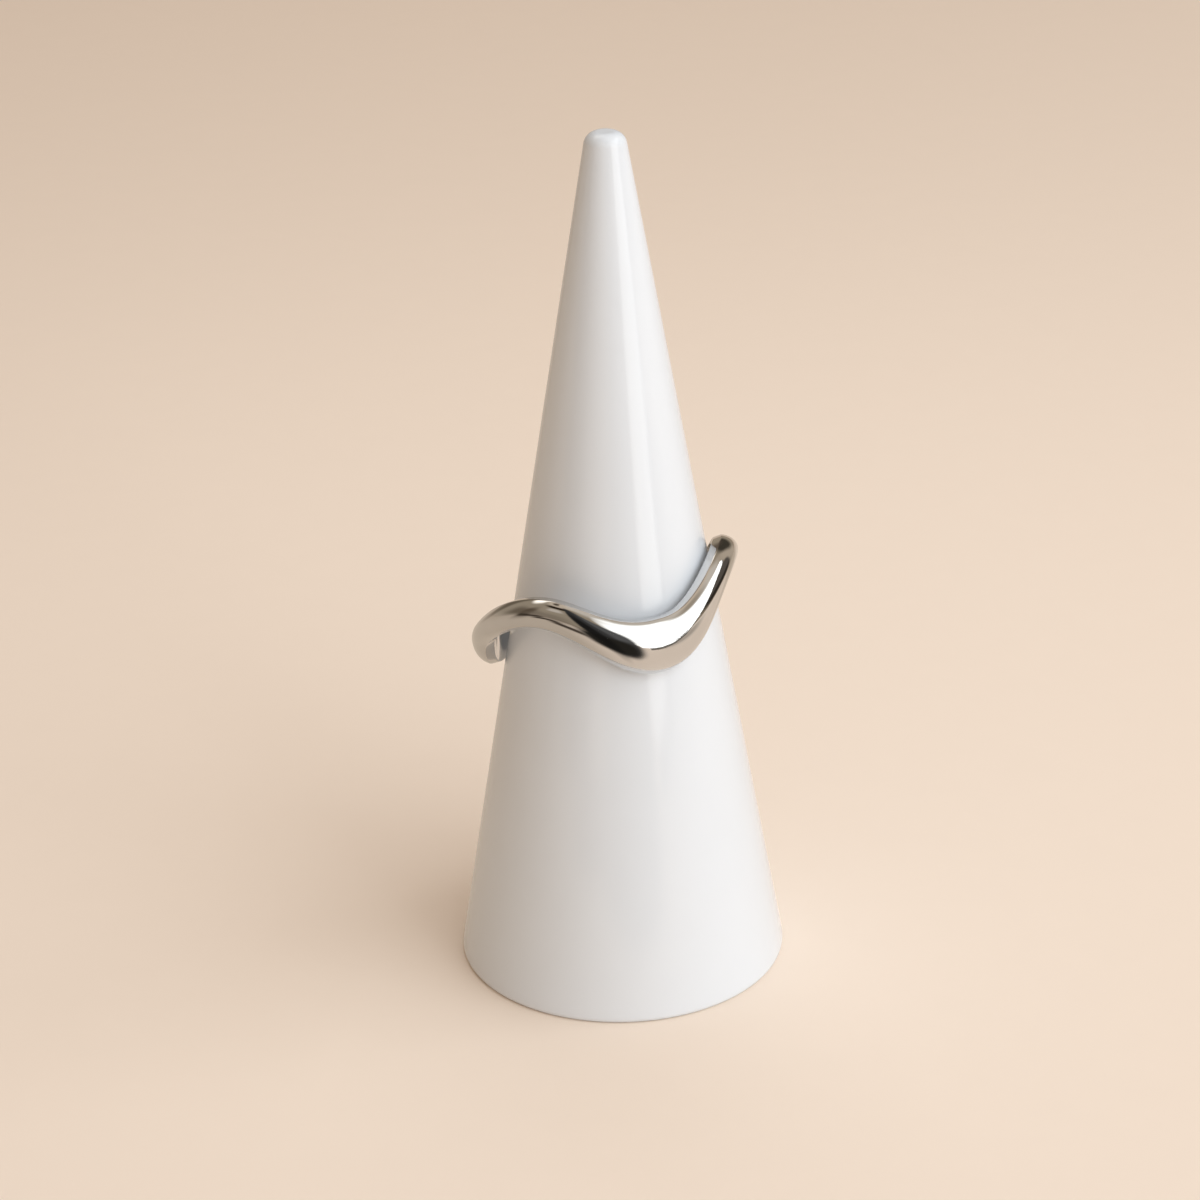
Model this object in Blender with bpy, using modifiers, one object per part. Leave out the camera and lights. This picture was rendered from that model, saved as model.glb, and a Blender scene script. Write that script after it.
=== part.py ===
"""Wave ring resting on its ring cone.

The cone is a plain turned stand with a softened tip and foot. The ring is one cast band that
waves round the finger: broad where it dips low at the front, slim over the high shoulder on each
side, and low behind on the left, where it leans on the cone.

Metres, +Z up. The front is -Y, and the origin is on the cone's axis at its foot.
"""

import math

import bpy
import numpy as np

MM = 0.001

COLLECTION_NAME = "wave_ring_on_cone"

# Ring cone: the straight side runs from the foot radius inwards by the taper for each unit of height
CONE_FOOT_RADIUS = 14.09 * MM
CONE_TAPER = 0.1701
CONE_HEIGHT = 73.6 * MM
CONE_TIP_ROUNDING = 1.15 * MM
CONE_FOOT_ROUNDING = 0.4 * MM
TIP_ARC_STEPS = 6
FOOT_ARC_STEPS = 3
CONE_SEGMENTS = 96

# Wave ring: one band whose height, width and thickness change round the finger
RING_BORE_RADIUS = 9.82 * MM
RING_CENTRE = (-0.97 * MM, 0.28 * MM, 32.9 * MM)
RING_LEAN = math.radians(8.2)  # the left side hangs lower than the right

# Section of the band: flat towards the finger, two low side walls, and a dome between their edges.
# The dome is the middle of a superellipse, cut off at an angle, so that it meets the walls crisply
SIDE_WALL_HEIGHT = 0.78 * MM
SIDE_WALL_LEAN = 0.15 * MM  # how far the finger side is set back from the edge
DOME_ROUNDNESS = 2.1  # 2 is an ellipse, more is squarer
DOME_CUT = math.radians(25)
DOME_STEPS = 18
EDGE_ANGLE = math.radians(25)  # corners of the section sharper than this are shaded as edges
BAND_STEPS = 120

# Band stations, evenly spaced from the back round the left, the front and the right: azimuth in
# degrees from the front towards the right, then in millimetres the height of the band's middle
# above the ring's own plane, the width of the band and its thickness
BAND_STATIONS = (
    (-180, -3.6, 2.7, 1.85),
    (-160, -4.3, 2.5, 1.85),
    (-140, -4.7, 2.5, 1.85),
    (-120, -4.5, 2.6, 1.85),
    (-100, -3.8, 2.7, 1.80),
    (-80, -1.0, 2.0, 1.70),
    (-60, 1.6, 2.1, 1.85),
    (-40, 3.5, 2.4, 1.85),
    (-20, 3.7, 2.8, 1.80),
    (0, 1.6, 3.4, 1.85),
    (20, -0.3, 4.7, 1.85),
    (40, 0.0, 4.2, 1.85),
    (60, 2.1, 2.9, 1.90),
    (80, 3.1, 2.6, 1.95),
    (100, 1.9, 2.4, 1.95),
    (120, -0.6, 2.2, 1.85),
    (140, -1.6, 2.4, 1.85),
    (160, -2.6, 2.6, 1.85),
)

GLOSSY_WHITE = (0.90, 0.90, 0.90, 1.0)
POLISHED_SILVER = (0.80, 0.78, 0.75, 1.0)


def clear_scene():
    for old in list(bpy.data.objects):
        bpy.data.objects.remove(old, do_unlink=True)


def plain_material(name, color, metallic, roughness):
    material = bpy.data.materials.new(name)
    material.use_nodes = True
    shader = material.node_tree.nodes["Principled BSDF"]
    shader.inputs["Base Color"].default_value = color
    shader.inputs["Metallic"].default_value = metallic
    shader.inputs["Roughness"].default_value = roughness
    material.diffuse_color = color
    return material


def add_object(name, mesh, material, collection):
    item = bpy.data.objects.new(name, mesh)
    mesh.materials.append(material)
    collection.objects.link(item)
    return item


def corner_arc(corner, before, after, radius, steps):
    """Points of the arc of a radius that rounds a corner between two neighbouring points."""
    corner, before, after = (np.array(point) for point in (corner, before, after))
    towards_before = (before - corner) / np.linalg.norm(before - corner)
    towards_after = (after - corner) / np.linalg.norm(after - corner)
    half_angle = math.acos(float(towards_before @ towards_after)) / 2
    bisector = towards_before + towards_after
    bisector = bisector / np.linalg.norm(bisector)
    centre = corner + bisector * radius / math.sin(half_angle)
    tangent_length = radius / math.tan(half_angle)
    start = corner + towards_before * tangent_length - centre
    end = corner + towards_after * tangent_length - centre
    turn = math.atan2(start[0] * end[1] - start[1] * end[0], start @ end)
    angles = np.linspace(0.0, turn, steps + 1)
    x = centre[0] + start[0] * np.cos(angles) - start[1] * np.sin(angles)
    z = centre[1] + start[0] * np.sin(angles) + start[1] * np.cos(angles)
    return list(zip(x, z))


def cone_profile():
    """Outer side of the cone as (radius, height) points, from the tip's centre to the foot's."""
    tip_radius = CONE_FOOT_RADIUS - CONE_TAPER * CONE_HEIGHT
    tip_centre = (0.0, CONE_HEIGHT)
    tip_corner = (tip_radius, CONE_HEIGHT)
    foot_corner = (CONE_FOOT_RADIUS, 0.0)
    foot_centre = (0.0, 0.0)
    tip_arc = corner_arc(tip_corner, tip_centre, foot_corner, CONE_TIP_ROUNDING, TIP_ARC_STEPS)
    foot_arc = corner_arc(foot_corner, tip_corner, foot_centre, CONE_FOOT_ROUNDING, FOOT_ARC_STEPS)
    return [tip_centre] + tip_arc + foot_arc + [foot_centre]


def make_ring_cone(collection):
    """Turned stand: its profile swept once round Z."""
    profile = [(radius, 0.0, height) for radius, height in cone_profile()]
    edges = [(i, i + 1) for i in range(len(profile) - 1)]
    mesh = bpy.data.meshes.new("ring_cone")
    mesh.from_pydata(profile, edges, [])
    material = plain_material("glossy_white", GLOSSY_WHITE, 0.0, 0.12)
    cone = add_object("ring_cone", mesh, material, collection)
    turn = cone.modifiers.new("turn", "SCREW")
    turn.axis = "Z"
    turn.angle = 2 * math.pi
    turn.steps = CONE_SEGMENTS
    turn.render_steps = CONE_SEGMENTS
    turn.use_merge_vertices = True
    turn.merge_threshold = 0.00001
    turn.use_smooth_shade = True
    return cone


def closed_spline(values, count):
    """Closed cubic curve through evenly spaced values, read at count evenly spaced places.

    With the stations one unit apart, the second derivatives m solve
    m[i-1] + 4 m[i] + m[i+1] = 6 (y[i-1] - 2 y[i] + y[i+1]).
    """
    y = np.asarray(values, dtype=float)
    n = len(y)
    unit = np.eye(n)
    system = 4 * unit + np.roll(unit, 1, axis=0) + np.roll(unit, -1, axis=0)
    bend = np.linalg.solve(system, 6 * (np.roll(y, 1) - 2 * y + np.roll(y, -1)))
    place = np.arange(count) * n / count
    low = place.astype(int)
    high = (low + 1) % n
    b = place - low
    a = 1 - b
    return a * y[low] + b * y[high] + ((a**3 - a) * bend[low] + (b**3 - b) * bend[high]) / 6


def band_section(width, thickness):
    """Section of the band at each step, as distances across its width and outwards from the bore.

    It runs over the dome from the upper edge to the lower one, then down the lower side wall and
    up the upper one. On the dome, the cosine of an angle gives the place across and its sine the
    height, each to the superellipse's power and stretched to reach from edge to edge.
    """
    half_width = width[:, None] / 2
    angle = np.linspace(DOME_CUT, math.pi - DOME_CUT, DOME_STEPS + 1)
    power = 2 / DOME_ROUNDNESS
    across = np.sign(np.cos(angle)) * (np.abs(np.cos(angle)) / math.cos(DOME_CUT)) ** power
    cut_height = math.sin(DOME_CUT) ** power
    rise = (np.sin(angle) ** power - cut_height) / (1 - cut_height)
    dome_across = half_width * across
    dome_outwards = SIDE_WALL_HEIGHT + (thickness[:, None] - SIDE_WALL_HEIGHT) * rise
    foot = half_width - SIDE_WALL_LEAN
    foot_outwards = np.zeros_like(foot)
    across = np.concatenate([dome_across, -foot, foot], axis=1)
    outwards = np.concatenate([dome_outwards, foot_outwards, foot_outwards], axis=1)
    return across, outwards


def band_points():
    """Points of the band, one row for each step round the finger, one column round its section.

    The section stands in the plane across the band: its width lies across the band's slope, and
    its thickness goes outwards from the bore.
    """
    _, height, width, thickness = np.array(BAND_STATIONS).T
    height = closed_spline(height, BAND_STEPS) * MM
    width = closed_spline(width, BAND_STEPS) * MM
    thickness = closed_spline(thickness, BAND_STEPS) * MM
    azimuth = -math.pi + np.arange(BAND_STEPS) * 2 * math.pi / BAND_STEPS
    outward = np.stack([np.sin(azimuth), -np.cos(azimuth), np.zeros(BAND_STEPS)], axis=1)

    middle = (RING_BORE_RADIUS + thickness[:, None] / 2) * outward
    middle[:, 2] = height
    along = np.roll(middle, -1, axis=0) - np.roll(middle, 1, axis=0)
    across = np.cross(outward, along)
    across /= np.linalg.norm(across, axis=1, keepdims=True)

    section_across, section_outwards = band_section(width, thickness)
    points = (RING_BORE_RADIUS + section_outwards)[:, :, None] * outward[:, None, :]
    points = points + section_across[:, :, None] * across[:, None, :]
    points[:, :, 2] += height[:, None]
    return points


def closed_tube_faces(rows, columns):
    """Quads of a tube that closes on itself both ways, facing out."""
    row, column = np.meshgrid(np.arange(rows), np.arange(columns), indexing="ij")
    next_row = (row + 1) % rows
    next_column = (column + 1) % columns
    corners = ((row, column), (row, next_column), (next_row, next_column), (next_row, column))
    return np.stack([r * columns + c for r, c in corners], axis=-1).reshape(-1, 4)


def make_wave_ring(collection):
    """The band, lofted through its changing section, then set on the cone with a lean."""
    mesh = bpy.data.meshes.new("wave_ring")
    points = band_points()
    faces = closed_tube_faces(*points.shape[:2])
    mesh.from_pydata(points.reshape(-1, 3).tolist(), [], faces.tolist())
    mesh.shade_smooth()
    mesh.set_sharp_from_angle(angle=EDGE_ANGLE)
    material = plain_material("polished_silver", POLISHED_SILVER, 1.0, 0.08)
    ring = add_object("wave_ring", mesh, material, collection)
    ring.location = RING_CENTRE
    ring.rotation_euler = (0.0, -RING_LEAN, 0.0)
    return ring


clear_scene()
parts = bpy.data.collections.new(COLLECTION_NAME)
bpy.context.scene.collection.children.link(parts)
make_ring_cone(parts)
make_wave_ring(parts)
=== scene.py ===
"""Wave ring resting on its ring cone, in soft studio light.

Metres, +Z up. The front is -Y, and the origin is on the cone's axis at its foot.
"""

import math

import bpy
import numpy as np
from mathutils import Matrix, Vector


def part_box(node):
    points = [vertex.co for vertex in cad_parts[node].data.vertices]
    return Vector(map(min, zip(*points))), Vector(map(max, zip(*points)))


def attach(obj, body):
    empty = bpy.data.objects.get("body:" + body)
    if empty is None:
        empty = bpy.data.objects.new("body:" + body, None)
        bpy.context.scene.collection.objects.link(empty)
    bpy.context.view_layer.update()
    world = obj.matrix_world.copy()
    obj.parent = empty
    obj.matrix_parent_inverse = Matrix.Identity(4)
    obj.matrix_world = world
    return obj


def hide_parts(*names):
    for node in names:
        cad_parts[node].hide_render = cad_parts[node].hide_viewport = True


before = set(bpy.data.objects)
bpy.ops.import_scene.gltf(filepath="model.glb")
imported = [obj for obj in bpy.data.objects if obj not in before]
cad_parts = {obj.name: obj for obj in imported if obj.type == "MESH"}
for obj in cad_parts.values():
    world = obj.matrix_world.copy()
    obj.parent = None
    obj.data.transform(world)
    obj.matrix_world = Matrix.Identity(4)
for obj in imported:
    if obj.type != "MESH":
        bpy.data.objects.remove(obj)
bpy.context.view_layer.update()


# Ring cone: a plain display cone of glossy white resin, cast in one piece and buffed. Its straight
# side runs up to a soft tip, a small radius rounds its foot, and it stands on its flat underside.

MM = 0.001
CONE_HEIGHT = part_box("ring_cone")[1].z
CONE_FOOT_RADIUS = 14.09 * MM
CONE_TAPER = 0.1701
CONE_TIP_ROUNDING = 1.15 * MM
CONE_FOOT_ROUNDING = 0.4 * MM
CONE_SIDE_ROWS = 90
CONE_TIP_ROWS = 20
CONE_FOOT_ROWS = 10
TIP_DISC_ROWS = 4
FOOT_DISC_ROWS = 11
CONE_SEGMENTS = 320


def corner_arc(corner, before, after, radius, steps):
    """Points of the arc that rounds a corner: its centre lies on the corner's bisector, and it
    turns the short way from the tangent point on one side to the tangent point on the other."""
    corner, before, after = (np.array(point, dtype=float) for point in (corner, before, after))
    towards_before = (before - corner) / np.linalg.norm(before - corner)
    towards_after = (after - corner) / np.linalg.norm(after - corner)
    half_angle = math.acos(float(towards_before @ towards_after)) / 2
    bisector = towards_before + towards_after
    bisector = bisector / np.linalg.norm(bisector)
    centre = corner + bisector * radius / math.sin(half_angle)
    tangent_length = radius / math.tan(half_angle)
    start = corner + towards_before * tangent_length - centre
    end = corner + towards_after * tangent_length - centre
    turn = math.atan2(start[0] * end[1] - start[1] * end[0], start @ end)
    angle = np.linspace(0.0, turn, steps + 1)
    x = centre[0] + start[0] * np.cos(angle) - start[1] * np.sin(angle)
    z = centre[1] + start[0] * np.sin(angle) + start[1] * np.cos(angle)
    return np.stack([x, z], axis=1)


def cone_profile():
    """Outer side of the cone from tip to foot as (radius, height): tip arc, straight side, foot arc,
    with a flat disc of radius points closing each end on the axis."""
    tip_corner = (CONE_FOOT_RADIUS - CONE_TAPER * CONE_HEIGHT, CONE_HEIGHT)
    foot_corner = (CONE_FOOT_RADIUS, 0.0)
    tip_arc = corner_arc(tip_corner, (0.0, CONE_HEIGHT), foot_corner, CONE_TIP_ROUNDING, CONE_TIP_ROWS)
    foot_arc = corner_arc(foot_corner, tip_corner, (0.0, 0.0), CONE_FOOT_ROUNDING, CONE_FOOT_ROWS)
    side = np.linspace(tip_arc[-1], foot_arc[0], CONE_SIDE_ROWS + 1)[1:-1]
    tip_disc = np.linspace((0.0, CONE_HEIGHT), tip_arc[0], TIP_DISC_ROWS + 1)[:-1]
    foot_disc = np.linspace(foot_arc[-1], (0.0, 0.0), FOOT_DISC_ROWS + 1)[1:]
    return np.concatenate([tip_disc, tip_arc, side, foot_arc, foot_disc])


def turned_mesh(name, profile, segments):
    """Mesh of a profile carried once round Z: point (r, z) goes to (r sin a, -r cos a, z) for evenly
    spaced angles a. The first and last profile points are on the axis, one vertex each."""
    angle = np.arange(segments) * 2 * math.pi / segments
    ring_radius = profile[1:-1, 0][:, None]
    x = ring_radius * np.sin(angle)
    y = -ring_radius * np.cos(angle)
    z = np.broadcast_to(profile[1:-1, 1][:, None], x.shape)
    points = np.stack([x, y, z], axis=-1).reshape(-1, 3)
    top = np.array([[0.0, 0.0, profile[0, 1]]])
    bottom = np.array([[0.0, 0.0, profile[-1, 1]]])
    points = np.concatenate([points, top, bottom])

    rows = len(profile) - 2
    row, column = np.meshgrid(np.arange(rows - 1), np.arange(segments), indexing="ij")
    following = (column + 1) % segments
    upper, lower = row * segments, (row + 1) * segments
    quads = np.stack([upper + column, lower + column, lower + following, upper + following], axis=-1)
    rim = np.arange(segments)
    rim_following = (rim + 1) % segments
    last = (rows - 1) * segments
    top_index = rows * segments
    top_fan = np.stack([rim, rim_following, np.full(segments, top_index)], axis=-1)
    bottom_fan = np.stack([last + rim_following, last + rim, np.full(segments, top_index + 1)], axis=-1)
    faces = quads.reshape(-1, 4).tolist() + top_fan.tolist() + bottom_fan.tolist()
    mesh = bpy.data.meshes.new(name)
    mesh.from_pydata(points.tolist(), [], faces)
    mesh.shade_smooth()
    return mesh


def add_piece(name, mesh, material):
    """Object of a finished mesh, linked to the scene at the origin."""
    piece = bpy.data.objects.new(name, mesh)
    mesh.materials.append(material)
    bpy.context.scene.collection.objects.link(piece)
    return piece


def new_material(name):
    """New material, its node tree and its Principled shader."""
    material = bpy.data.materials.new(name)
    material.use_nodes = True
    tree = material.node_tree
    return material, tree, tree.nodes["Principled BSDF"]


def add_node(tree, kind, **settings):
    """Node of a kind, with settings on the node itself and values on its named inputs."""
    node = tree.nodes.new(kind)
    inputs = settings.pop("inputs", {})
    for key, value in settings.items():
        setattr(node, key, value)
    for key, value in inputs.items():
        node.inputs[key].default_value = value
    return node


def soft_smudge_group():
    """Where a buffed surface has been touched: two noises, a broad one that says where, and a fine one
    that breaks it up, joined to one mask from 0, clean, to 1, dull."""
    group = bpy.data.node_groups.new("soft_smudges", "ShaderNodeTree")
    sockets = group.interface
    sockets.new_socket("Vector", in_out="INPUT", socket_type="NodeSocketVector")
    sockets.new_socket("Patch scale", in_out="INPUT", socket_type="NodeSocketFloat")
    sockets.new_socket("Grain scale", in_out="INPUT", socket_type="NodeSocketFloat")
    sockets.new_socket("Smudge", in_out="OUTPUT", socket_type="NodeSocketFloat")
    ends_in = group.nodes.new("NodeGroupInput")
    ends_out = group.nodes.new("NodeGroupOutput")
    patch = add_node(group, "ShaderNodeTexNoise", inputs={"Detail": 2.0, "Roughness": 0.5})
    grain = add_node(group, "ShaderNodeTexNoise", inputs={"Detail": 4.0, "Roughness": 0.6})
    spread = add_node(group, "ShaderNodeMapRange", interpolation_type="SMOOTHSTEP",
                      inputs={"From Min": 0.42, "From Max": 0.68})
    broken = add_node(group, "ShaderNodeMath", operation="MULTIPLY")
    link = group.links.new
    link(ends_in.outputs["Vector"], patch.inputs["Vector"])
    link(ends_in.outputs["Vector"], grain.inputs["Vector"])
    link(ends_in.outputs["Patch scale"], patch.inputs["Scale"])
    link(ends_in.outputs["Grain scale"], grain.inputs["Scale"])
    link(patch.outputs["Fac"], spread.inputs["Value"])
    link(spread.outputs["Result"], broken.inputs[0])
    link(grain.outputs["Fac"], broken.inputs[1])
    link(broken.outputs["Value"], ends_out.inputs["Smudge"])
    return group


SOFT_SMUDGES = soft_smudge_group()


def glossy_white_resin():
    """Buffed white resin: a clear gloss with a faint waviness, and dull touches that only show in the
    reflections."""
    material, tree, shader = new_material("glossy_white_resin")
    link = tree.links.new
    place = add_node(tree, "ShaderNodeTexCoord")

    mottle = add_node(tree, "ShaderNodeTexNoise", inputs={"Scale": 90.0, "Detail": 3.0})
    tone = add_node(tree, "ShaderNodeValToRGB")
    tone.color_ramp.elements[0].position = 0.3
    tone.color_ramp.elements[0].color = (0.735, 0.780, 0.833, 1.0)
    tone.color_ramp.elements[1].position = 0.7
    tone.color_ramp.elements[1].color = (0.750, 0.795, 0.848, 1.0)
    link(place.outputs["Object"], mottle.inputs["Vector"])
    link(mottle.outputs["Fac"], tone.inputs["Fac"])
    link(tone.outputs["Color"], shader.inputs["Base Color"])

    smudges = add_node(tree, "ShaderNodeGroup", node_tree=SOFT_SMUDGES,
                       inputs={"Patch scale": 120.0, "Grain scale": 900.0})
    gloss = add_node(tree, "ShaderNodeMapRange", inputs={"To Min": 0.055, "To Max": 0.16})
    link(place.outputs["Object"], smudges.inputs["Vector"])
    link(smudges.outputs["Smudge"], gloss.inputs["Value"])
    link(gloss.outputs["Result"], shader.inputs["Roughness"])

    wave = add_node(tree, "ShaderNodeTexNoise", inputs={"Scale": 260.0, "Detail": 1.0})
    relief = add_node(tree, "ShaderNodeBump", inputs={"Strength": 0.05, "Distance": 0.00002})
    link(place.outputs["Object"], wave.inputs["Vector"])
    link(wave.outputs["Fac"], relief.inputs["Height"])
    link(relief.outputs["Normal"], shader.inputs["Normal"])
    shader.inputs["IOR"].default_value = 1.5
    return material


cone_mesh = turned_mesh("ring_cone_turned", cone_profile(), CONE_SEGMENTS)
cone = add_piece("ring_cone_turned", cone_mesh, glossy_white_resin())
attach(cone, "root")
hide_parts("ring_cone")


# Wave ring: one band of silver, cast in a wave, broad where it dips at the front and slim over its
# shoulders, then polished to a mirror. It hangs round the cone without a fixing, leaning to the left.

RING_BORE_RADIUS = 9.82 * MM
RING_CENTRE = (-0.97 * MM, 0.28 * MM, 32.9 * MM)
RING_LEAN = math.radians(8.2)
SIDE_WALL_HEIGHT = 0.78 * MM
SIDE_WALL_LEAN = 0.15 * MM  # how far the finger side is set back from the edge
DOME_ROUNDNESS = 2.1  # 2 is an ellipse, more is squarer
DOME_CUT = math.radians(25)
EDGE_TURN = math.radians(3)  # how far an edge's small rounding reaches round the dome
EDGE_SHARE = 0.11  # and down the side wall, as a share of the wall
DOME_STEPS = 64
EDGE_STEPS = 6
FLAT_STEPS = 8
BAND_STEPS = 720
HAIRLINE_SCALE = (14.0, 90.0, 1.0)  # lengths of noise along the band and round its section

# Evenly spaced stations round the finger: azimuth in degrees from the front towards the right, then
# in millimetres the height of the band's middle above the ring's own plane, its width and thickness
BAND_STATIONS = (
    (-180, -3.6, 2.7, 1.85),
    (-160, -4.3, 2.5, 1.85),
    (-140, -4.7, 2.5, 1.85),
    (-120, -4.5, 2.6, 1.85),
    (-100, -3.8, 2.7, 1.80),
    (-80, -1.0, 2.0, 1.70),
    (-60, 1.6, 2.1, 1.85),
    (-40, 3.5, 2.4, 1.85),
    (-20, 3.7, 2.8, 1.80),
    (0, 1.6, 3.4, 1.85),
    (20, -0.3, 4.7, 1.85),
    (40, 0.0, 4.2, 1.85),
    (60, 2.1, 2.9, 1.90),
    (80, 3.1, 2.6, 1.95),
    (100, 1.9, 2.4, 1.95),
    (120, -0.6, 2.2, 1.85),
    (140, -1.6, 2.4, 1.85),
    (160, -2.6, 2.6, 1.85),
)


def closed_spline(values, count):
    """Closed cubic curve through evenly spaced values, read at count evenly spaced places.

    With the stations one unit apart, the second derivatives m solve
    m[i-1] + 4 m[i] + m[i+1] = 6 (y[i-1] - 2 y[i] + y[i+1]).
    """
    y = np.asarray(values, dtype=float)
    n = len(y)
    unit = np.eye(n)
    system = 4 * unit + np.roll(unit, 1, axis=0) + np.roll(unit, -1, axis=0)
    bend = np.linalg.solve(system, 6 * (np.roll(y, 1) - 2 * y + np.roll(y, -1)))
    place = np.arange(count) * n / count
    low = place.astype(int)
    high = (low + 1) % n
    b = place - low
    a = 1 - b
    return a * y[low] + b * y[high] + ((a**3 - a) * bend[low] + (b**3 - b) * bend[high]) / 6


def dome_points(angle, half_width, thickness):
    """Dome of the section as (across, outwards): the middle of a superellipse, cut off where it meets
    the side walls. Its cosine gives the place across and its sine the height above the walls."""
    power = 2 / DOME_ROUNDNESS
    across = np.sign(np.cos(angle)) * (np.abs(np.cos(angle)) / math.cos(DOME_CUT)) ** power
    cut_height = math.sin(DOME_CUT) ** power
    rise = (np.sin(angle) ** power - cut_height) / (1 - cut_height)
    outwards = SIDE_WALL_HEIGHT + (thickness - SIDE_WALL_HEIGHT) * rise
    return np.stack([half_width * across, outwards], axis=-1)


def bent_line(start, corner, end, steps):
    """Quadratic curve from start to end that leans into the corner between them."""
    share = np.linspace(0.0, 1.0, steps + 1)[:, None]
    return (1 - share) ** 2 * start + 2 * share * (1 - share) * corner + share**2 * end


def band_section(width, thickness):
    """Closed section at each step as (across, outwards): the dome, then the lower side wall, the flat
    finger side and the upper side wall, with a small rounding at each of the four corners."""
    half_width = width[:, None] / 2
    thickness = thickness[:, None]
    angle = np.linspace(DOME_CUT + EDGE_TURN, math.pi - DOME_CUT - EDGE_TURN, DOME_STEPS + 1)
    dome = dome_points(angle, half_width, thickness)
    edge = dome_points(np.array([DOME_CUT]), half_width, thickness)
    foot = edge - np.array((SIDE_WALL_LEAN, SIDE_WALL_HEIGHT))
    on_wall = EDGE_SHARE * (foot - edge)
    on_flat = np.array((EDGE_SHARE * SIDE_WALL_HEIGHT, 0.0))
    upper_edge = bent_line(edge + on_wall, edge, dome[:, :1], EDGE_STEPS)[:, :-1]
    upper_foot = bent_line(foot - on_flat, foot, foot - on_wall, EDGE_STEPS)
    mirrored = np.array((-1.0, 1.0))
    lower_edge = (upper_edge * mirrored)[:, ::-1]
    lower_foot = (upper_foot * mirrored)[:, ::-1]
    flat = np.linspace(lower_foot[:, -1], upper_foot[:, 0], FLAT_STEPS + 1, axis=1)[:, 1:-1]
    return np.concatenate([upper_edge, dome, lower_edge, lower_foot, flat, upper_foot], axis=1)


def band_points():
    """Points of the band in the ring's own plane, a row for each step round the finger and a column
    round its section, which stands across the band's slope with its thickness outwards."""
    _, height, width, thickness = np.array(BAND_STATIONS).T
    height = closed_spline(height, BAND_STEPS) * MM
    width = closed_spline(width, BAND_STEPS) * MM
    thickness = closed_spline(thickness, BAND_STEPS) * MM
    azimuth = -math.pi + np.arange(BAND_STEPS) * 2 * math.pi / BAND_STEPS
    outward = np.stack([np.sin(azimuth), -np.cos(azimuth), np.zeros(BAND_STEPS)], axis=1)
    middle = (RING_BORE_RADIUS + thickness[:, None] / 2) * outward
    middle[:, 2] = height
    along = np.roll(middle, -1, axis=0) - np.roll(middle, 1, axis=0)
    across = np.cross(outward, along)
    across /= np.linalg.norm(across, axis=1, keepdims=True)

    section = band_section(width, thickness)
    points = (RING_BORE_RADIUS + section[:, :, 1:]) * outward[:, None, :]
    points = points + section[:, :, :1] * across[:, None, :]
    points[:, :, 2] += height[:, None]
    return points


def set_on_cone(points):
    """The ring's own points, leant about Y and moved to the ring's place on the cone."""
    lean = np.array(Matrix.Rotation(-RING_LEAN, 3, "Y"))
    return points @ lean.T + np.array(RING_CENTRE)


def closed_tube_mesh(name, points):
    """Mesh of a grid of points that closes on itself both ways, with a UV map that runs once along
    the band (U) and once round its section (V)."""
    rows, columns = points.shape[:2]
    row, column = np.meshgrid(np.arange(rows), np.arange(columns), indexing="ij")
    corners = ((0, 0), (0, 1), (1, 1), (1, 0))
    faces = [(row + r) % rows * columns + (column + c) % columns for r, c in corners]
    mesh = bpy.data.meshes.new(name)
    mesh.from_pydata(points.reshape(-1, 3).tolist(), [], np.stack(faces, axis=-1).reshape(-1, 4).tolist())
    mesh.shade_smooth()
    u = np.stack([(row + r) / rows for r, _ in corners], axis=-1)
    v = np.stack([(column + c) / columns for _, c in corners], axis=-1)
    mesh.uv_layers.new(name="band")
    mesh.uv_layers["band"].data.foreach_set("uv", np.stack([u, v], axis=-1).astype(np.float32).ravel())
    return mesh


def mirror_silver():
    """Polished silver: a mirror with a faint haze where it has been touched, and hairlines along the
    band from the buffing wheel, which are a noise drawn out long by the UV map."""
    material, tree, shader = new_material("mirror_polished_silver")
    link = tree.links.new
    place = add_node(tree, "ShaderNodeTexCoord")

    tone = add_node(tree, "ShaderNodeTexNoise", inputs={"Scale": 300.0, "Detail": 2.0})
    color = add_node(tree, "ShaderNodeValToRGB")
    color.color_ramp.elements[0].position = 0.3
    color.color_ramp.elements[0].color = (0.645, 0.648, 0.648, 1.0)
    color.color_ramp.elements[1].position = 0.7
    color.color_ramp.elements[1].color = (0.675, 0.675, 0.672, 1.0)
    link(place.outputs["Object"], tone.inputs["Vector"])
    link(tone.outputs["Fac"], color.inputs["Fac"])
    link(color.outputs["Color"], shader.inputs["Base Color"])
    shader.inputs["Metallic"].default_value = 1.0

    smudges = add_node(tree, "ShaderNodeGroup", node_tree=SOFT_SMUDGES,
                       inputs={"Patch scale": 350.0, "Grain scale": 2500.0})
    gloss = add_node(tree, "ShaderNodeMapRange", inputs={"To Min": 0.02, "To Max": 0.10})
    link(place.outputs["Object"], smudges.inputs["Vector"])
    link(smudges.outputs["Smudge"], gloss.inputs["Value"])
    link(gloss.outputs["Result"], shader.inputs["Roughness"])

    drawn_out = add_node(tree, "ShaderNodeMapping", inputs={"Scale": HAIRLINE_SCALE})
    hairlines = add_node(tree, "ShaderNodeTexNoise", inputs={"Scale": 1.0, "Detail": 3.0})
    relief = add_node(tree, "ShaderNodeBump", inputs={"Strength": 0.25, "Distance": 0.000004})
    link(place.outputs["UV"], drawn_out.inputs["Vector"])
    link(drawn_out.outputs["Vector"], hairlines.inputs["Vector"])
    link(hairlines.outputs["Fac"], relief.inputs["Height"])
    link(relief.outputs["Normal"], shader.inputs["Normal"])
    return material


ring_mesh = closed_tube_mesh("wave_ring_band", set_on_cone(band_points()))
ring = add_piece("wave_ring_band", ring_mesh, mirror_silver())
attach(ring, "root")
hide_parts("wave_ring")


# Floor: a plain sheet of warm pale card, far wider than the view.

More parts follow.
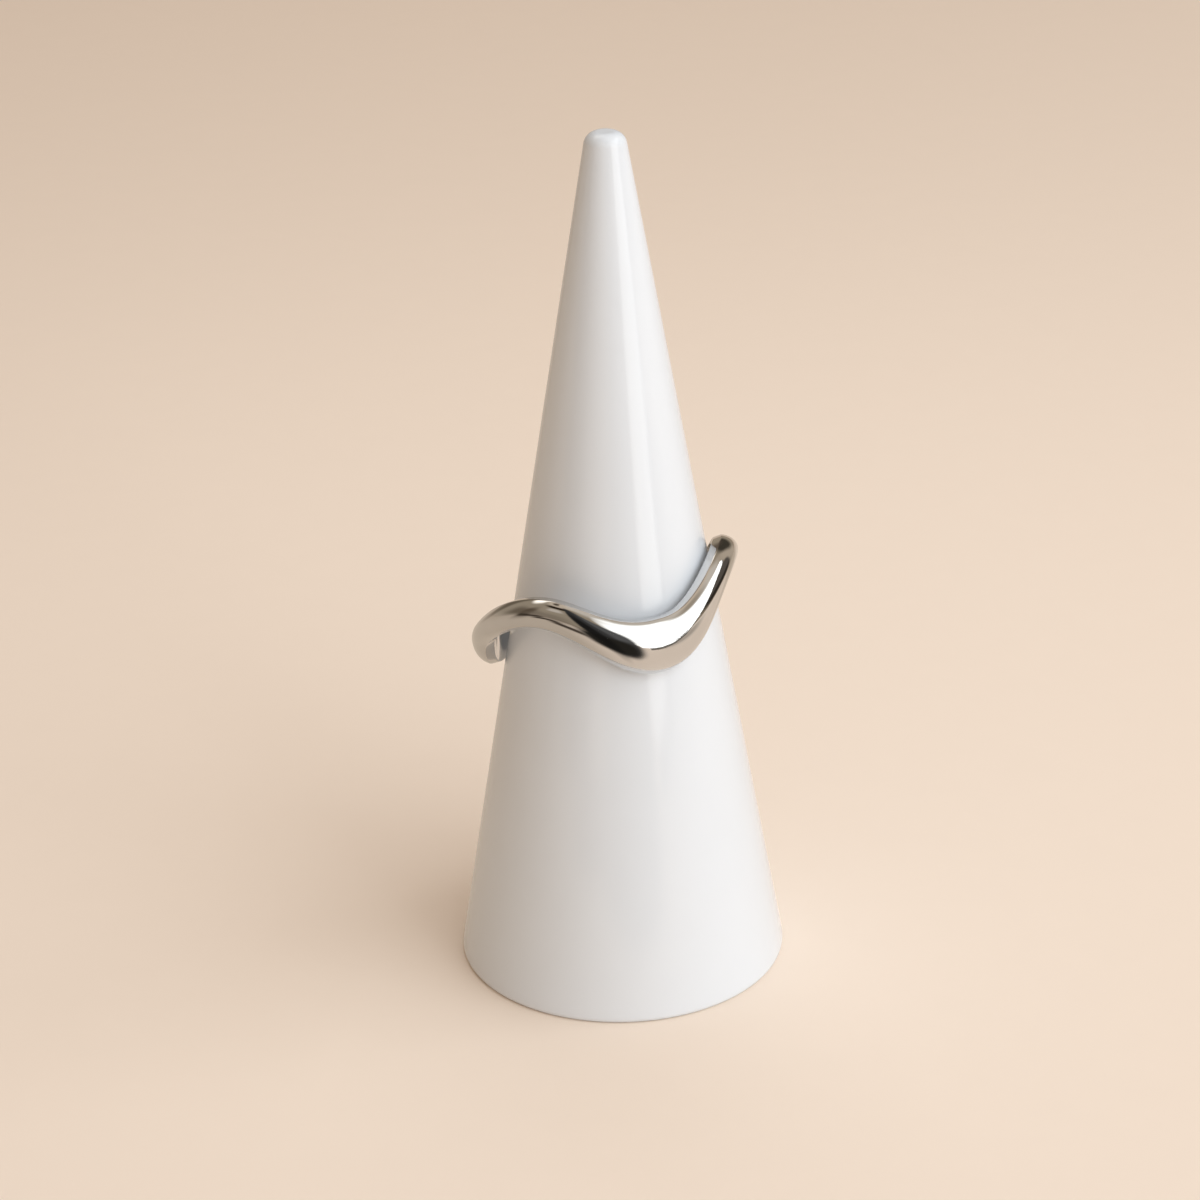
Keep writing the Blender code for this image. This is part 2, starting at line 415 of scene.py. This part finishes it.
FLOOR_HALF = 3.0
FLOOR_COLOR = (0.93, 0.81, 0.70, 1.0)


def warm_card():
    """Matte card with a very faint mottling."""
    material, tree, shader = new_material("warm_card")
    link = tree.links.new
    place = add_node(tree, "ShaderNodeTexCoord")
    mottle = add_node(tree, "ShaderNodeTexNoise", inputs={"Scale": 220.0, "Detail": 4.0})
    tone = add_node(tree, "ShaderNodeValToRGB")
    tone.color_ramp.elements[0].color = tuple(0.985 * c for c in FLOOR_COLOR[:3]) + (1.0,)
    tone.color_ramp.elements[1].color = FLOOR_COLOR
    link(place.outputs["Object"], mottle.inputs["Vector"])
    link(mottle.outputs["Fac"], tone.inputs["Fac"])
    link(tone.outputs["Color"], shader.inputs["Base Color"])
    shader.inputs["Roughness"].default_value = 0.9
    shader.inputs["Specular IOR Level"].default_value = 0.2
    return material


floor_mesh = bpy.data.meshes.new("card_floor")
floor_corners = [(x * FLOOR_HALF, y * FLOOR_HALF, 0.0) for x, y in ((-1, -1), (1, -1), (1, 1), (-1, 1))]
floor_mesh.from_pydata(floor_corners, [], [(0, 1, 2, 3)])
floor = add_piece("card_floor", floor_mesh, warm_card())


# Light: one tall softbox at the right front in two panels, a weak fill at the front, a scrim
# overhead, a small lamp over the floor behind the cone, and a warm pale room. The mirror surfaces
# see painted reflections on glowing sheets instead of the lamps.

AIM_POINT = Vector((0.0, 0.0, 33.0 * MM))
LAMP_COLOR = (0.94, 1.0, 1.05)
LAMPS = (  # name, azimuth and elevation in degrees, distance, width and height in metres, watts
    ("key_low", 50, 12, 1.00, 0.80, 0.70, 3.6),
    ("key_high", 72, 45, 1.00, 1.07, 0.57, 4.2),
    ("front_fill", 18, 32, 0.80, 0.50, 0.50, 1.3),
    ("overhead_scrim", 150, 80, 0.90, 0.70, 0.70, 1.3),
    ("floor_glow", 180, 57, 0.175, 0.10, 0.06, 0.036),
)


def add_lamp(name, azimuth, elevation, distance, width, height, power):
    """Rectangular lamp that faces the aim point, its azimuth counted from the front to the right. It
    lights the scene, and what the mirror surfaces see instead are the painted reflection sheets below."""
    lamp = bpy.data.lights.new(name, "AREA")
    lamp.shape = "RECTANGLE"
    lamp.size = width
    lamp.size_y = height
    lamp.energy = power
    lamp.color = LAMP_COLOR
    item = bpy.data.objects.new(name, lamp)
    item.visible_camera = False
    item.visible_glossy = False
    bpy.context.scene.collection.objects.link(item)
    a, e = math.radians(azimuth), math.radians(elevation)
    out = Vector((math.sin(a) * math.cos(e), -math.cos(a) * math.cos(e), math.sin(e)))
    item.location = AIM_POINT + out * distance
    item.rotation_euler = out.to_track_quat("Z", "Y").to_euler()


for lamp_row in LAMPS:
    add_lamp(*lamp_row)


def shell_mesh(name, azimuth, lowest, highest, steps, radius, clearance):
    """Sheet on a shell round the ring, and the azimuth and elevation of each of its points.

    A point lies from the aim point along its azimuth and elevation, as far as the radius or, if that
    is nearer, as the clearance above the floor. Each azimuth is an upright strip of points."""
    share = np.linspace(0.0, 1.0, steps + 1)
    elevation = lowest[:, None] + (highest - lowest)[:, None] * share
    azimuth = np.broadcast_to(azimuth[:, None], elevation.shape)
    drop = np.maximum(np.sin(-elevation), 1e-6)
    reach = np.minimum(radius, (AIM_POINT.z - clearance) / drop)
    x = reach * np.cos(elevation) * np.sin(azimuth)
    y = -reach * np.cos(elevation) * np.cos(azimuth)
    points = np.stack([x, y, AIM_POINT.z + reach * np.sin(elevation)], axis=-1)
    row, column = np.meshgrid(np.arange(len(azimuth) - 1), np.arange(steps), indexing="ij")
    corners = ((0, 0), (1, 0), (1, 1), (0, 1))
    faces = [(row + r) * (steps + 1) + column + c for r, c in corners]
    mesh = bpy.data.meshes.new(name)
    mesh.from_pydata(points.reshape(-1, 3).tolist(), [], np.stack(faces, axis=-1).reshape(-1, 4).tolist())
    return mesh, azimuth, elevation


def glowing_material(name):
    """Sheet of painted reflection that only glows: its colour and how much it covers come from the mesh's
    glow attribute.
    """
    material, tree, shader = new_material(name)
    glow = add_node(tree, "ShaderNodeAttribute", attribute_name="glow")
    tree.links.new(glow.outputs["Color"], shader.inputs["Emission Color"])
    tree.links.new(glow.outputs["Alpha"], shader.inputs["Alpha"])
    shader.inputs["Base Color"].default_value = (0.0, 0.0, 0.0, 1.0)
    shader.inputs["Specular IOR Level"].default_value = 0.0
    shader.inputs["Emission Strength"].default_value = 1.0
    material.cycles.emission_sampling = "NONE"
    return material


def add_painted_reflection(mesh, glow):
    """Painted reflection: a glowing sheet of a mesh with a glow (red, green, blue, cover) at each point,
    seen in reflections alone.
    """
    # painted reflection: the sheet glows and is seen only by glossy rays
    layer = mesh.color_attributes.new(name="glow", type="FLOAT_COLOR", domain="POINT")
    layer.data.foreach_set("color", glow.astype(np.float32).ravel())
    sheet = add_piece(mesh.name, mesh, glowing_material(mesh.name))
    sheet.visible_camera = False
    sheet.visible_diffuse = False
    sheet.visible_shadow = False


# Softbox as the silver mirrors it, painted: a glowing sheet for the bright face, faded at its upper
# and left edges, and below it a dark sheet for the frame, painted shade. Azimuth, lowest and highest
# elevation in degrees, seen from the ring
SOFTBOX_FACE = (
    (28.5, -6, 34),
    (31, -11, 42),
    (36, -12, 49),
    (44, -11, 57),
    (54, -8, 61),
    (62, -3, 63),
    (67, 8, 64),
    (72, 22, 64),
    (78, 34, 63),
    (86, 40, 62),
    (96, 42, 61),
    (106, 43, 59),
    (116, 47, 55),
)
FACE_RADIUS = 450.0 * MM
FACE_CLEARANCE = 0.4 * MM
FACE_STEPS = 48
# painted highlight: how bright the softbox's face glows in the reflections
FACE_GLOW = (2.2, 2.2, 2.15)
FADED_SHARE = 0.16  # of the face's height, at its upper edge
FADED_TURN = math.radians(3.5)  # at its left edge
FRAME_FIRST_ROW = 2  # the frame starts a little in from the face's left end
FRAME_RADIUS = 454.5 * MM
FRAME_CLEARANCE = 0.3 * MM
FRAME_STEPS = 16
FRAME_DEPTH = math.radians(4.0)  # below the face's lower edge, and as far up behind the face
# painted shade: the frame is a faintly glowing dark sheet, seen only in reflections
FRAME_GLOW = (0.16, 0.14, 0.12, 0.9)

face_azimuth, face_lowest, face_highest = np.radians(np.array(SOFTBOX_FACE, dtype=float)).T
face_mesh, azimuth, elevation = shell_mesh("painted_softbox_reflection", face_azimuth, face_lowest, face_highest,
                                           FACE_STEPS, FACE_RADIUS, FACE_CLEARANCE)
face_height = (face_highest - face_lowest)[:, None]
from_top = (face_highest[:, None] - elevation) / (face_height * FADED_SHARE)
from_left = (azimuth - face_azimuth[0]) / FADED_TURN
face_cover = np.clip(from_top, 0.0, 1.0) * np.clip(from_left, 0.0, 1.0)
face_glow = np.concatenate([np.tile(FACE_GLOW, (azimuth.size, 1)), face_cover.reshape(-1, 1)], axis=1)
# painted highlight: the softbox face, seen only in reflections
add_painted_reflection(face_mesh, face_glow)

frame_azimuth = face_azimuth[FRAME_FIRST_ROW:]
frame_middle = face_lowest[FRAME_FIRST_ROW:]
frame_mesh, azimuth, _ = shell_mesh("painted_frame_reflection", frame_azimuth, frame_middle - FRAME_DEPTH,
                                    frame_middle + FRAME_DEPTH, FRAME_STEPS, FRAME_RADIUS, FRAME_CLEARANCE)
add_painted_reflection(frame_mesh, np.tile(FRAME_GLOW, (azimuth.size, 1)))

# Room as the silver mirrors it, painted: soft patches of painted light and painted shade on a glowing
# dome, with one painted glint. Azimuth and elevation of the middle in degrees, half width, half height,
# softness of the border, cover, then the glow
DOME_RADIUS = 463.5 * MM
DOME_CLEARANCE = 0.2 * MM
DOME_LOWEST = math.radians(-72.0)
DOME_HIGHEST = math.radians(89.9)
DOME_TURN_STEPS = 240
DOME_CLIMB_STEPS = 108
PAINTED_ROOM_GLOW = (0.38, 0.31, 0.23)
# painted reflections: light patches, dark patches put where the silver shows shade, and one glint
PAINTED_ROOM_PATCHES = (
    (-105, -32, 85, 36, 0.25, 0.80, (0.56, 0.46, 0.36)),
    (0, 90, 400, 16, 0.40, 0.90, (0.73, 0.60, 0.47)),
    (-110, 86, 80, 5, 0.50, 0.90, (0.06, 0.045, 0.03)),
    (92, 70, 40, 12, 0.50, 0.90, (0.74, 0.66, 0.57)),
    (130, 18, 16, 44, 0.40, 0.80, (0.60, 0.49, 0.38)),
    (159, 32, 20, 21, 0.35, 0.95, (0.045, 0.037, 0.027)),
    (-172, 33, 22, 13, 0.50, 0.85, (0.11, 0.08, 0.06)),
    (-143, 22, 10, 26, 0.60, 0.80, (0.12, 0.09, 0.06)),
    # painted glint on the ring's upper edge
    (-142, 60, 34, 9, 0.50, 0.95, (2.00, 1.85, 1.65)),
    (-80, 20, 26, 16, 0.60, 0.80, (0.13, 0.095, 0.065)),
    (-68, 16, 9, 28, 0.60, 0.80, (0.10, 0.07, 0.045)),
    (-67, 1, 7, 8, 0.50, 1.00, (0.03, 0.02, 0.01)),
    (-40, 8, 30, 18, 0.60, 0.60, (0.21, 0.165, 0.125)),
    (-55, -2, 13, 5, 0.40, 0.95, (0.05, 0.035, 0.025)),
    (-39, -11, 13, 4, 0.40, 0.95, (0.05, 0.035, 0.025)),
    (-23, -18, 13, 5, 0.40, 0.95, (0.05, 0.035, 0.025)),
    (-27, 52, 16, 8, 0.50, 0.80, (0.72, 0.63, 0.55)),
    (-22, 69, 48, 6, 0.40, 1.00, (0.03, 0.02, 0.012)),
    (58, -9, 18, 6, 0.50, 0.70, (0.36, 0.31, 0.26)),
    (94, 22, 27, 20, 0.12, 1.00, (0.12, 0.10, 0.085)),
    (94, 9, 25, 7, 0.45, 0.95, (0.03, 0.024, 0.018)),
    (14, 20, 16, 56, 0.12, 1.00, (0.05, 0.048, 0.047)),
    (25, 20, 6, 40, 0.50, 0.80, (0.14, 0.137, 0.135)),
    (8, -16, 20, 17, 0.30, 1.00, (0.025, 0.022, 0.018)),
    (5, 8, 7, 44, 0.50, 0.90, (0.012, 0.011, 0.010)),
)


def patch_cover(azimuth, elevation, patch):
    """How much of a patch lies in each direction: whole inside and none outside a rounded rectangle,
    with a smooth step between (1 - softness) and (1 + softness) of its half width and height."""
    middle_azimuth, middle_elevation, half_width, half_height, softness, cover, _ = patch
    turn = (np.degrees(azimuth) - middle_azimuth + 180) % 360 - 180
    climb = np.degrees(elevation) - middle_elevation
    distance = (np.abs(turn / half_width) ** 3 + np.abs(climb / half_height) ** 3) ** (1 / 3)
    step = np.clip((1 + softness - distance) / (2 * softness), 0.0, 1.0)
    return (cover * step * step * (3 - 2 * step))[..., None]


def painted_room_glow(azimuth, elevation):
    """Painted reflection on the dome: glow for the plain room above the horizon, then each painted patch
    of light or shade laid over what is there.
    """
    above = np.clip((np.degrees(elevation) + 3) / 5, 0.0, 1.0)[..., None]
    glow = above * np.array(PAINTED_ROOM_GLOW + (1.0,))
    for patch in PAINTED_ROOM_PATCHES:
        cover = patch_cover(azimuth, elevation, patch)
        glow = glow * (1 - cover) + cover * np.array(patch[-1] + (1.0,))
    glow[..., :3] /= np.maximum(glow[..., 3:], 1e-4)
    return glow


# Dome of painted room reflection, seen only by the mirror and gloss
dome_azimuth = np.linspace(-math.pi, math.pi, DOME_TURN_STEPS + 1)
dome_lowest = np.full_like(dome_azimuth, DOME_LOWEST)
dome_highest = np.full_like(dome_azimuth, DOME_HIGHEST)
dome_mesh, azimuth, elevation = shell_mesh("painted_room_reflection", dome_azimuth, dome_lowest, dome_highest,
                                           DOME_CLIMB_STEPS, DOME_RADIUS, DOME_CLEARANCE)
add_painted_reflection(dome_mesh, painted_room_glow(azimuth, elevation))

# Room for lighting: warm, and even from every side
room = bpy.data.worlds.new("room")
room.use_nodes = True
lit = room.node_tree.nodes["Background"]
lit.inputs["Color"].default_value = (0.36, 0.27, 0.19, 1.0)
lit.inputs["Strength"].default_value = 1.0
bpy.context.scene.world = room


# Camera: a 100 mm lens a little above the object, aimed between the ring and the cone's middle.

CAMERA_ELEVATION = math.radians(25.2)
CAMERA_ROLL = math.radians(-1.4)
CAMERA_DISTANCE = 279.3 * MM
CAMERA_TARGET = Vector((-1.29 * MM, 0.0, 32.9 * MM))

camera_data = bpy.data.cameras.new("camera")
camera_data.lens = 100.0
camera_data.sensor_width = 36.0
camera_data.clip_start = 0.01
camera_data.clip_end = 20.0
camera = bpy.data.objects.new("camera", camera_data)
bpy.context.scene.collection.objects.link(camera)
camera_back = Vector((0.0, -math.cos(CAMERA_ELEVATION), math.sin(CAMERA_ELEVATION)))
camera.location = CAMERA_TARGET + CAMERA_DISTANCE * camera_back
level = camera_back.to_track_quat("Z", "Y")
camera.rotation_mode = "QUATERNION"
camera.rotation_quaternion = level @ Matrix.Rotation(CAMERA_ROLL, 3, "Z").to_quaternion()
bpy.context.scene.camera = camera
bpy.context.scene.view_settings.view_transform = "Standard"
